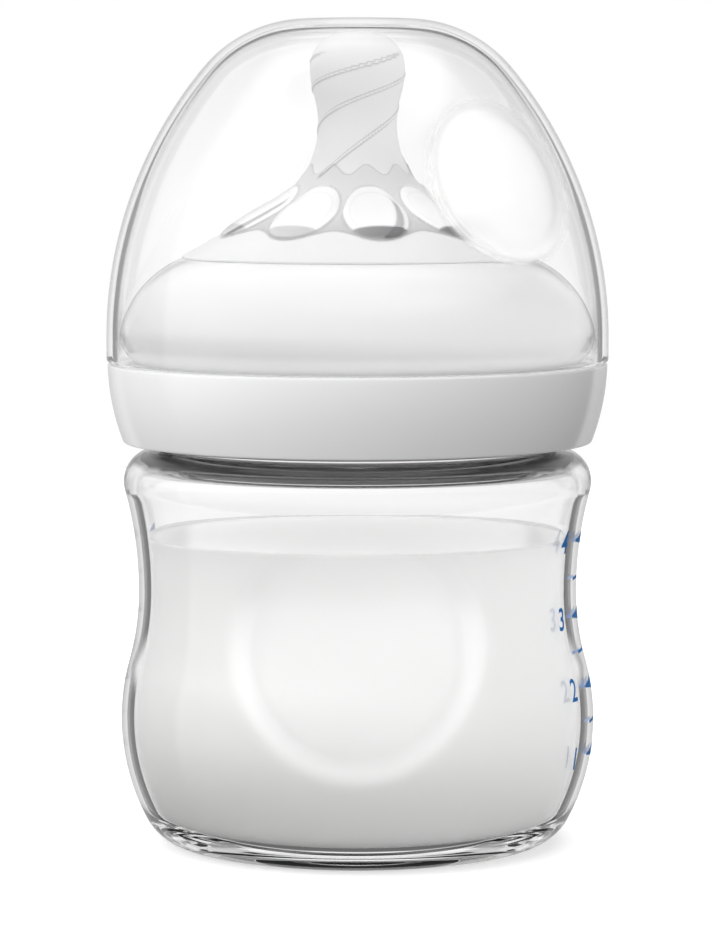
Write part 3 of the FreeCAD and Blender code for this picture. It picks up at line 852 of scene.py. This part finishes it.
def from_dimple(radius, height, angle):
    """Offset of each point from a line square to the cap's side, and how far along that line it is."""
    outward = np.array([math.sin(DIMPLE_AZIMUTH) * math.cos(DIMPLE_LEAN),
                        -math.cos(DIMPLE_AZIMUTH) * math.cos(DIMPLE_LEAN),
                        math.sin(DIMPLE_LEAN)])
    foot = CAP_SPRING - SIDE_CENTRE[0] * math.tan(DIMPLE_LEAN)
    point = np.stack([radius * np.cos(angle), radius * np.sin(angle), height - foot], axis=-1)
    along = point @ outward
    return point - along[..., None] * outward, along


def dimple(radius, height, angle):
    """Share of the thumb dimple's depth, eased from its rim to its flat."""
    offset, along = from_dimple(radius, height, angle)
    away = np.linalg.norm(offset, axis=-1)
    return ease((DIMPLE_RIM - away) / (DIMPLE_RIM - DIMPLE_FLAT)) * (along > 0)


def crescent(radius, height, angle):
    """Painted shade: 1 inside the dimple's far rim, on the side that turns away from the front and up."""
    offset, along = from_dimple(radius, height, angle)
    away = np.linalg.norm(offset, axis=-1)
    turned_away = np.array([math.cos(DIMPLE_AZIMUTH), math.sin(DIMPLE_AZIMUTH), CRESCENT_UPWARD])
    side = ease((offset @ turned_away) / DIMPLE_RIM)
    outside = ease((away - CRESCENT_INSIDE) / CRESCENT_SOFT)
    inside = ease((DIMPLE_RIM - CRESCENT_INSET - away) / CRESCENT_EDGE)
    return side * outside * inside * (along > 0)


def make_cap():
    """Cap turned up the outside and down the inside, with its dimple pressed into both faces."""
    span = SIDE_CURVE - CAP_CORNER
    meeting = beyond(SIDE_CENTRE, CORNER_CENTRE, SIDE_CURVE, span)
    meeting_in = beyond(SIDE_CENTRE, CORNER_CENTRE, SIDE_CURVE - CAP_WALL, span)
    under = CAP_TOP - CAP_WALL
    line = outline([
        at(0, under),
        at(CAP_FLAT_RADIUS, under, CAP_CORNER - CAP_WALL, -1, step=CAP_STEP),
        at(*meeting_in, SIDE_CURVE - CAP_WALL, -1, step=CAP_STEP),
        at(CAP_RADIUS - CAP_WALL, CAP_SPRING),
        at(CAP_RADIUS - CAP_WALL, CAP_BOTTOM, blunt=CAP_INNER_ROUND),
        at(CAP_RADIUS, CAP_BOTTOM, blunt=CAP_OUTER_ROUND),
        at(CAP_RADIUS, CAP_SPRING, SIDE_CURVE, step=CAP_STEP),
        at(*meeting, CAP_CORNER, step=CAP_STEP),
        at(CAP_FLAT_RADIUS, CAP_TOP),
        at(0, CAP_TOP),
    ], closed=False)

    def mould(radius, height, angle, out):
        return -np.sign(out) * DIMPLE_DEPTH * dimple(radius, height, angle)

    masks = {
        "dimple": lambda r, z, a, out: dimple(r, z, a),
        "crescent": lambda r, z, a, out: crescent(r, z, a),
    }
    angles = closer_angles(DIMPLE_AZIMUTH - math.pi / 2, DIMPLE_SECTOR, DIMPLE_COLUMNS, CAP_COLUMNS)
    return turned("cap_shell", line, mould, masks, angles)


# Materials

def operator_pair(operation):
    """Operator on a wire and its reflected form; each adds a Math node."""
    def forward(self, other):
        return self.graph.maths(operation, self, other)

    def reflected(self, other):
        return self.graph.maths(operation, other, self)

    return forward, reflected


class Wire:
    """Output of a node; arithmetic on it adds Math nodes, and a name in brackets gives another output."""

    __add__, __radd__ = operator_pair("ADD")
    __sub__, __rsub__ = operator_pair("SUBTRACT")
    __mul__, __rmul__ = operator_pair("MULTIPLY")

    def __init__(self, graph, socket):
        self.graph = graph
        self.socket = socket

    def __getitem__(self, name):
        return Wire(self.graph, self.socket.node.outputs[name])


class Graph:
    """Node tree that is filled through one method."""

    def __init__(self, tree):
        self.tree = tree
        tree.nodes.clear()

    def node(self, kind, settings=None, sockets=None):
        """Node of this kind with its settings, then its sockets' values or links; gives its first output."""
        made = self.tree.nodes.new(kind)
        for key, value in (settings or {}).items():
            setattr(made, key, value)
        for key, value in (sockets or {}).items():
            if isinstance(value, Wire):
                self.tree.links.new(value.socket, made.inputs[key])
            else:
                made.inputs[key].default_value = value
        shown = [s for s in made.outputs if s.enabled]
        return Wire(self, shown[0]) if shown else None

    def maths(self, operation, *values):
        """Math node on one or two numbers or wires."""
        return self.node("ShaderNodeMath", {"operation": operation}, dict(enumerate(values)))


MIX_FIRST, MIX_SECOND = 6, 7
WAVE_SCALE = 45.0
BUMP_DEPTH = 0.00002
EDGE_ON = (0.8, 0.96)
# Painted light: where the milk's top faces up, glossier and glowing, and the heights in metres over which it
# is painted paler.
MILK_TOP_GLOSS_AND_GLOW_LEAN = (0.6, 0.9)
MILK_PAINTED_LIGHT_HEIGHTS = (0.014, 0.043)
WHITE = (1, 1, 1, 1)


def material(surface_of):
    """Material that has the name of the function that makes its surface."""
    made = bpy.data.materials.new(surface_of.__name__)
    made.use_nodes = True
    graph = Graph(made.node_tree)
    graph.node("ShaderNodeOutputMaterial", None, {"Surface": surface_of(graph)})
    return made


def principled(graph, sockets):
    """Main shader with these values and links."""
    return graph.node("ShaderNodeBsdfPrincipled", None, sockets)


def mix_shaders(graph, share, first, second):
    """First shader giving way to the second by a share."""
    return graph.node("ShaderNodeMixShader", None, {0: share, 1: first, 2: second})


def mask(graph, name):
    """Value that a piece carries under this name."""
    return graph.node("ShaderNodeAttribute", {"attribute_name": name})["Fac"]


def half_way(share):
    """1 where a share is half, falling to 0 where it is 0 or 1: 4 t (1 - t)."""
    return 4.0 * share * (1.0 - share)


def place(graph):
    """Object coordinates, in metres."""
    return graph.node("ShaderNodeTexCoord")["Object"]


def upward(graph, vector):
    """Z of a vector."""
    return graph.node("ShaderNodeSeparateXYZ", None, {"Vector": vector})["Z"]


def cloud(graph, scale, detail=2.0):
    """Noise between 0 and 1 on Object coordinates, in features per metre."""
    return graph.node("ShaderNodeTexNoise", None,
                      {"Vector": place(graph), "Scale": scale, "Detail": detail})


def bump(graph, height, strength):
    """Normal tilted by a height."""
    return graph.node("ShaderNodeBump", None,
                      {"Height": height, "Distance": BUMP_DEPTH, "Strength": strength})


def grey(level):
    """Grey of this level."""
    return (level, level, level)


def blend(graph, share, low, high):
    """Colour between low and high by a share; each is a wire or three numbers."""
    first, second = (c if isinstance(c, Wire) else (*c, 1) for c in (low, high))
    return graph.node("ShaderNodeMix", {"data_type": "RGBA"},
                      {"Factor": share, MIX_FIRST: first, MIX_SECOND: second})["Result"]


def ramp(graph, value, low, high, kind="SMOOTHSTEP"):
    """0 to 1 while a value passes from low to high."""
    return graph.node("ShaderNodeMapRange", {"interpolation_type": kind},
                      {"Value": value, "From Min": low, "From Max": high})


def grazing(graph):
    """1 where a surface is seen almost edge-on; clear pieces paint their rims grey by it, as painted shade.
    """
    facing = graph.node("ShaderNodeLayerWeight", None, {"Blend": 0.5})["Facing"]
    return ramp(graph, facing, *EDGE_ON)


def clear_glass(graph):
    """Clear pressed glass, faintly wavy, with painted shade: grey where seen edge-on and dark on the level
    face under the ring.
    """
    drift = cloud(graph, 60.0)
    # Painted shade: grey where the glass is seen edge-on.
    clear = blend(graph, 0.1 * drift + 0.9 * grazing(graph), grey(1), (0.86, 0.865, 0.865))
    return principled(graph, {
        # Painted shade: the level face under the ring is painted dark grey.
        "Base Color": blend(graph, 0.8 * mask(graph, "ledge"), clear, grey(0.15)),
        "Roughness": 0.02 * drift,
        "IOR": 1.5,
        "Transmission Weight": 1.0,
        "Normal": bump(graph, cloud(graph, WAVE_SCALE, 1.0), 1.0),
    })


def clear_plastic(graph):
    """Thin clear plastic that hardly bends what is seen through it, with its gloss as a coat.

    It is grey where it is seen edge-on, as painted shade. Its dimple is pale and faintly glows as painted
    light, with painted shade greying its bevel and an arc inside the far rim.
    """
    drift = cloud(graph, 60.0)
    dent = mask(graph, "dimple")
    far_rim_painted_shade = mask(graph, "crescent")
    bevel = half_way(dent)
    # Painted shade: grey on the dimple's bevel, inside its far rim and where seen edge-on.
    tint = 0.07 * drift + 0.4 * bevel + 0.7 * far_rim_painted_shade + grazing(graph)
    clear = principled(graph, {
        "Base Color": blend(graph, tint, grey(1), grey(0.74)),
        "Roughness": 0.04 + 0.03 * drift + 0.1 * bevel,
        "IOR": 1.02,
        "Transmission Weight": 1.0,
        "Coat Weight": 1.0,
        "Coat IOR": 1.49,
        "Coat Roughness": 0.06,
        "Normal": bump(graph, cloud(graph, WAVE_SCALE, 1.0), 1.0),
    })
    pale = principled(graph, {
        # Painted shade: grey inside the far rim.
        "Base Color": blend(graph, 0.1 * drift + 0.9 * far_rim_painted_shade, grey(0.98), grey(0.7)),
        "Roughness": 0.3 + 0.1 * drift,
        "IOR": 1.3,
        "Transmission Weight": 0.4,
        # Painted light: a faint glow, though the dimple is no lamp.
        "Emission Color": WHITE,
        "Emission Strength": 0.12,
    })
    return mix_shaders(graph, 0.75 * dent + 0.1 * bevel, clear, pale)


def milk_white(graph):
    """Opaque liquid that lets light a little way in, with painted light: paler towards its top and behind
    the recess, and a faint painted glow that is stronger higher up and on its top.
    """
    top = ramp(graph, upward(graph, graph.node("ShaderNodeNewGeometry")["Normal"]), *MILK_TOP_GLOSS_AND_GLOW_LEAN, "LINEAR")
    # Painted light: the milk is painted paler higher up.
    upper = ramp(graph, upward(graph, place(graph)), *MILK_PAINTED_LIGHT_HEIGHTS, "LINEAR")
    recess = mask(graph, "recess")
    # Painted light: the recess's rim and inside are painted paler.
    recess_painted_light = (0.33 + 0.2 * upper) * recess + (0.35 + 0.5 * upper) * half_way(recess)
    white = 0.1 * cloud(graph, 40.0) + 0.25 * upper + recess_painted_light
    return principled(graph, {
        "Base Color": blend(graph, white, (0.79, 0.79, 0.785), (0.99, 0.99, 0.985)),
        "Roughness": 0.3 + 0.1 * cloud(graph, 150.0) - 0.28 * top,
        "Subsurface Weight": 0.35,
        "Subsurface Radius": (0.020, 0.0198, 0.0196),
        "Subsurface Scale": 1.0,
        "IOR": 1.35,
        # Painted light: a faint glow, strongest on the top and higher up, though milk is no lamp.
        "Emission Color": blend(graph, 0.5 * upper + top, grey(0.15), grey(1)),
        "Emission Strength": 0.25,
    })


def white_moulding(graph):
    """Opaque white moulded plastic with a fine orange-peel gloss, and painted shade that makes the bore
    dark.
    """
    outside = blend(graph, cloud(graph, 30.0), grey(0.82), grey(0.85))
    return principled(graph, {
        # Painted shade: the bore is painted near black.
        "Base Color": blend(graph, 0.9 * mask(graph, "bore"), outside, grey(0.1)),
        "Roughness": 0.16 + 0.08 * cloud(graph, 80.0),
        "Coat Weight": 0.5,
        "Coat Roughness": 0.08,
        "Subsurface Weight": 0.1,
        "Subsurface Radius": (0.002, 0.002, 0.002),
        "Subsurface Scale": 1.0,
        "Normal": bump(graph, cloud(graph, 900.0, 3.0), 0.5),
    })


def soft_silicone(graph):
    """Frosted silicone, a little greyer on the collar, with white glossy petals that have dark feet. Painted
    shade draws the dark feet, a dark line in each petal, dark lines along the ribs and the outlines of
    petals, collar and a ring inside each petal, and grey low between petals. The petals are painted paler
    and all of it glows faintly, most on the petals, as painted light.
    """
    petal = mask(graph, "petal")
    collar = mask(graph, "collar")
    # Painted shade: dark lines along the ribs and the outlines of petals, collar and inner petal rings, and
    # grey low between petals.
    edge = half_way(mask(graph, "rib")) + half_way(petal) + 0.7 * half_way(collar)
    edge = edge + 0.625 * half_way(mask(graph, "pocket_outline_shade")) + 0.7 * mask(graph, "painted_web_shade")
    # Painted light: petals paler; painted shade: the lines above.
    white = 0.86 + 0.1 * cloud(graph, 90.0) - 0.22 * collar + 0.6 * petal - 0.7 * edge
    frosted = principled(graph, {
        "Base Color": blend(graph, white, grey(0.5), grey(0.97)),
        "Roughness": 0.34 + 0.12 * cloud(graph, 1500.0) - 0.22 * petal,
        "Subsurface Weight": 0.3,
        "Subsurface Radius": (0.0006, 0.0006, 0.0006),
        "Subsurface Scale": 1.0,
        "Transmission Weight": 0.2,
        "IOR": 1.41,
        # Painted light: a faint glow, stronger on the petals, though silicone is no lamp.
        "Emission Color": blend(graph, petal, grey(0.1), grey(1)),
        "Emission Strength": 0.1,
    })
    clear = principled(graph, {
        "Base Color": blend(graph, cloud(graph, 90.0), grey(0.96), grey(0.99)),
        "Roughness": 0.04 + 0.06 * cloud(graph, 300.0),
        "Transmission Weight": 1.0,
        "IOR": 1.41,
    })
    # Painted shade: a near-black gloss for the petals' feet and their dark lines.
    painted_shade_gloss = principled(graph, {
        "Base Color": blend(graph, cloud(graph, 200.0), (0.05, 0.05, 0.055), (0.09, 0.09, 0.095)),
        "Roughness": 0.12 + 0.05 * cloud(graph, 300.0),
        "IOR": 1.41,
    })
    skin = mix_shaders(graph, 0.05 + 0.05 * collar, frosted, clear)
    # Painted shade: dark feet and dark lines on the petals.
    dark = 0.92 * mask(graph, "lens") + 0.55 * mask(graph, "painted_streak")
    return mix_shaders(graph, dark, skin, painted_shade_gloss)


def blue_print(graph):
    """Blue print, a little thinner in places."""
    return principled(graph, {
        "Base Color": blend(graph, cloud(graph, 700.0, 3.0), (0.014, 0.16, 0.48), (0.02, 0.2, 0.56)),
        "Roughness": 0.55 + 0.15 * cloud(graph, 900.0),
        "Specular IOR Level": 0.1,
    })


def studio_floor(graph):
    """Plain pale studio floor."""
    return principled(graph, {
        "Base Color": blend(graph, cloud(graph, 8.0), grey(0.88), grey(0.90)),
        "Roughness": 0.6 + 0.1 * cloud(graph, 20.0),
        "Specular IOR Level": 0.2,
        "Emission Color": WHITE,
        "Emission Strength": 0.35,
    })


def dress(piece, finish, body, slot, *nodes):
    """Give a piece its finish and its body, and hide the CAD nodes that it stands for. slot is not used."""
    piece.data.materials.append(finish)
    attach(piece, body)
    if nodes:
        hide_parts(*nodes)


# Studio

FLOOR_RINGS = (100.0, 200.0, 400.0, 600.0)
FLOOR_DROP = 0.01
CAMERA_BACK = 570.0
CAMERA_HEIGHT = 102.7
AIM_HEIGHT = 51.6
LENS = 154.6

# Angles in the studio, in degrees: where each change starts and ends
PANEL_DROP = 7
PANEL_EDGE = (38, 44)
PANEL_SHADE = (5.5, 7.5)
PANEL_SHADE_FADE = (7.5, 24)
WIDE_FLAG = (22, 24, 35, 37)
WIDE_FLAG_TOP = (-4, 0)
TIGHT_DROP = 1
TIGHT_FLAG = (3, 5, 21, 24)
TIGHT_FLAG_FOOT = (-4.6, -3.2)
TIGHT_FLAG_SLOT = (3.5, 4.5, 9, 11)
SOFTBOX_TURN = 40
STRIP = (-101, -95, -80, -30)
CEILING = (48, 60)
SIDE_FOOT = (-34, -2)
UNDER_FOOT = (-44, -10)
LOW_LIGHT = (0, 25)
HIGH_LIGHT = (5, 35)
TABLE_EDGE = (-62, -44)
GLANCE = (18, 50)


def make_floor():
    """Flat disc round the origin: r cos a, r sin a, 0, a little below the foot."""
    radius = np.array(FLOOR_RINGS)[:, None]
    angle = even_angles(FLOOR_COLUMNS)[None, :]
    rings = np.stack([radius * np.cos(angle), radius * np.sin(angle), 0 * radius * angle - FLOOR_DROP],
                     axis=-1).reshape(-1, 3)
    points = np.concatenate([rings, [[0, 0, -FLOOR_DROP]]])
    faces = grid_faces(len(FLOOR_RINGS), FLOOR_COLUMNS, False)[:, ::-1].tolist()
    column = np.arange(FLOOR_COLUMNS)
    faces += np.stack([column * 0 + len(rings), column, np.roll(column, -1)], axis=1).tolist()
    floor = put_in_scene("studio_floor", points, faces, smooth=False)
    floor.data.materials.append(material(studio_floor))
    for ray in ("diffuse", "glossy", "transmission", "shadow"):
        setattr(floor, "visible_" + ray, False)


def past(graph, angle, low, high):
    """0 to 1 while an angle passes from low to high degrees."""
    return ramp(graph, angle, math.radians(low), math.radians(high))


def within(graph, angle, low, low_end, high, high_end):
    """1 between two angles, with soft sides."""
    return past(graph, angle, low, low_end) * (1.0 - past(graph, angle, high, high_end))


def away(graph, sideways, upward_part):
    """Angle from a direction, from its two small parts: root of the sum of their squares."""
    return graph.maths("SQRT", sideways * sideways + upward_part * upward_part)


def directions(graph):
    """Where a ray goes: azimuth from the front to the right, azimuth from the back, and rise."""
    way = graph.node("ShaderNodeTexCoord")["Generated"]
    parts = graph.node("ShaderNodeSeparateXYZ", None, {"Vector": way})
    sideways, depth = parts["X"], parts["Y"]
    azimuth = graph.maths("ARCTAN2", sideways, 0.0 - depth)
    behind = graph.maths("ARCTAN2", sideways, depth)
    return azimuth, behind, graph.maths("ARCSINE", parts["Z"])


def tent_light(graph, azimuth, rise, through):
    """Ceiling and walls. Light through a clear piece is even, a little more from the upper left and the
    lower right. Other light comes mainly from a softbox and a strip at the left."""
    facing = graph.maths("COSINE", azimuth)
    rightward = graph.maths("SINE", azimuth)
    turned_left = graph.maths("COSINE", azimuth + math.radians(SOFTBOX_TURN))
    ceiling = past(graph, rise, *CEILING)
    from_side = (1.0 - ceiling) * past(graph, rise, *SIDE_FOOT)
    from_under = (1.0 - ceiling) * past(graph, rise, *UNDER_FOOT)
    crossed = 0.35 * (1.0 - past(graph, rise, *LOW_LIGHT)) - 0.5 * past(graph, rise, *HIGH_LIGHT)
    even_light = 0.78 + 0.06 * facing + rightward * crossed
    side_light = 0.62 + 0.5 * turned_left + 0.8 * within(graph, azimuth, *STRIP)
    walls = from_under * even_light * through + from_side * side_light * (1.0 - through)
    return 0.16 + walls + 1.5 * ceiling


def dark_flags(graph, behind, rise, low_way):
    """Light that two dark rings behind the bottle leave: a wide one below, and a tight one that is open
    where the milk's surface would mirror it."""
    wide = within(graph, low_way, *WIDE_FLAG) * (1.0 - past(graph, rise, *WIDE_FLAG_TOP))
    high_way = away(graph, behind, rise + math.radians(TIGHT_DROP))
    tight = within(graph, high_way, *TIGHT_FLAG) * past(graph, rise, *TIGHT_FLAG_FOOT)
    tight = tight * (1.0 - within(graph, rise, *TIGHT_FLAG_SLOT))
    return (1.0 - 0.98 * wide) * (1.0 - 0.85 * tight)


def light_room():
    """Soft studio seen by direction: a white panel behind, a tent round it and a glow from the table.

    Only light mirrored inside a clear wall sees the dark flags and the panel's shade, which draw the wall's
    edges. Glancing reflections outside see a dimmer panel, and the camera itself sees plain white.
    """
    world = bpy.data.worlds.new("studio")
    bpy.context.scene.world = world
    world.use_nodes = True
    graph = Graph(world.node_tree)
    azimuth, behind, rise = directions(graph)
    path = graph.node("ShaderNodeLightPath")
    seen = path["Is Camera Ray"]
    through = path["Is Transmission Ray"]
    mirrored = graph.maths("MINIMUM", path["Glossy Depth"], 1.0)
    scattered = graph.maths("MINIMUM", path["Diffuse Depth"], 1.0)
    edge = through * mirrored
    straight_on = through * (1.0 - mirrored) * (1.0 - scattered)
    low_way = away(graph, behind, rise + math.radians(PANEL_DROP))
    panel = 1.0 - past(graph, low_way, *PANEL_EDGE)
    off_middle = graph.maths("ABSOLUTE", behind)
    shade = 0.4 * past(graph, off_middle, *PANEL_SHADE) - 0.28 * past(graph, off_middle, *PANEL_SHADE_FADE)
    table = 0.65 * straight_on * (1.0 - past(graph, rise, *TABLE_EDGE))
    tent = tent_light(graph, azimuth, rise, through) + table
    room = tent * (1.0 - panel) + (1.0 - shade * edge) * panel
    glance = mirrored * (1.0 - through) * (1.0 - past(graph, low_way, *GLANCE))
    flagged = 1.0 - edge + edge * dark_flags(graph, behind, rise, low_way)
    level = room * flagged * (1.0 - 0.4 * glance)
    background = graph.node("ShaderNodeBackground", None,
                            {"Color": WHITE, "Strength": level * (1.0 - seen) + seen})
    graph.node("ShaderNodeOutputWorld", None, {"Surface": background})


def make_camera():
    """Camera in front of the bottle, level with the nipple and tilted down to the bottle's middle."""
    camera = bpy.data.cameras.new("studio_camera")
    camera.lens = LENS
    camera.sensor_width = 36.0
    camera.clip_start = 0.01
    holder = bpy.data.objects.new("studio_camera", camera)
    bpy.context.scene.collection.objects.link(holder)
    holder.location = (0, -CAMERA_BACK * MM, CAMERA_HEIGHT * MM)
    tilt = math.atan2(AIM_HEIGHT - CAMERA_HEIGHT, CAMERA_BACK)
    holder.rotation_euler = (math.pi / 2 + tilt, 0, 0)
    bpy.context.scene.camera = holder


def light_paths():
    """Enough bounces for light to pass through cap, nipple and bottle."""
    bpy.context.scene.view_settings.view_transform = "Standard"
    cycles = bpy.context.scene.cycles
    cycles.max_bounces = 24
    cycles.transmission_bounces = 24
    cycles.diffuse_bounces = 6
    cycles.glossy_bounces = 12
    cycles.transparent_max_bounces = 16
    cycles.use_denoising = True
    cycles.blur_glossy = 0.0


dress(make_bottle(), material(clear_glass), "bottle", "clear_glass", "bottle")
dress(make_milk(), material(milk_white), "bottle", "milk", "milk")
ink = material(blue_print)
dress(ink_strips(), ink, "bottle", "clear_glass")
for number, mark in enumerate(WEDGE_HEIGHTS, start=1):
    dress(numeral(str(number), mark), ink, "bottle", "clear_glass")
dress(make_nipple(), material(soft_silicone), "nipple", "silicone", "nipple")
dress(make_ring(), material(white_moulding), "ring", "white_plastic", "screw_ring")
dress(make_cap(), material(clear_plastic), "cap", "clear_plastic", "dome_cap")

make_floor()
light_room()
make_camera()
light_paths()
